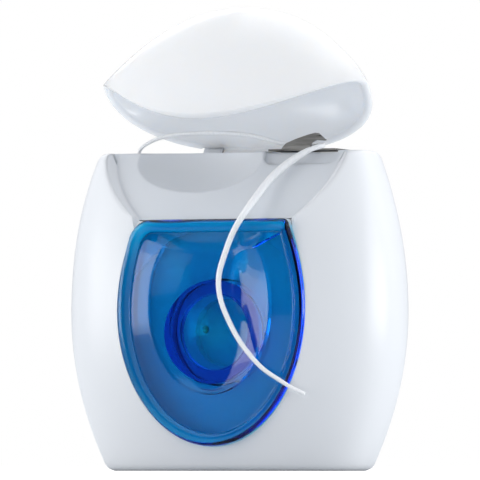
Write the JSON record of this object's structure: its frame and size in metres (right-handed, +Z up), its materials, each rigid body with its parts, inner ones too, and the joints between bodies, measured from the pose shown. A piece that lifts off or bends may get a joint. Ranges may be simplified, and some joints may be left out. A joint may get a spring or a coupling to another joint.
{
  "type": "dental floss dispenser",
  "caption": "Flip-top floss dispenser: rounded white case with a clear blue window, slanted thumb scoop, steel cutter, hinged lid and a spool of floss inside.",
  "frame": {"origin": "centre of the flat base that the dispenser stands on", "axes": "+Z up, -Y out of the blue window in the front, +X towards the cutter's side; the hinge line is along X at the back of the deck"},
  "size_m": [0.052, 0.0294, 0.0691],
  "materials": {
    "case_white": "smooth moulded gloss",
    "top_white": "smooth moulded gloss",
    "lid_white": "smooth moulded gloss",
    "window_blue": "clear tinted, polished",
    "cutter_steel": "fine brushed",
    "spool_plastic": "natural moulded",
    "floss": "waxed fine yarn"
  },
  "bodies": {
    "case": {"case_front": "case_white", "case_back": "case_white", "top_insert": "top_white", "window_insert": "window_blue", "cutter": "cutter_steel", "floss_feed": "floss", "floss_strand": "floss"},
    "lid": {"lid": "lid_white"},
    "spool": {"spool": "spool_plastic", "floss_winding": "floss"}
  },
  "joints": [
    {"name": "lid_hinge", "type": "hinge", "parent": "case", "child": "lid", "pos_m": [0, 0.0092, 0.0474], "axis": [-1, 0, 0], "range_deg": [-39, 53]},
    {"name": "spool_spin", "type": "hinge", "parent": "case", "child": "spool", "pos_m": [0, 0, 0.0205], "axis": [0, 1, 0], "continuous": true}
  ]
}
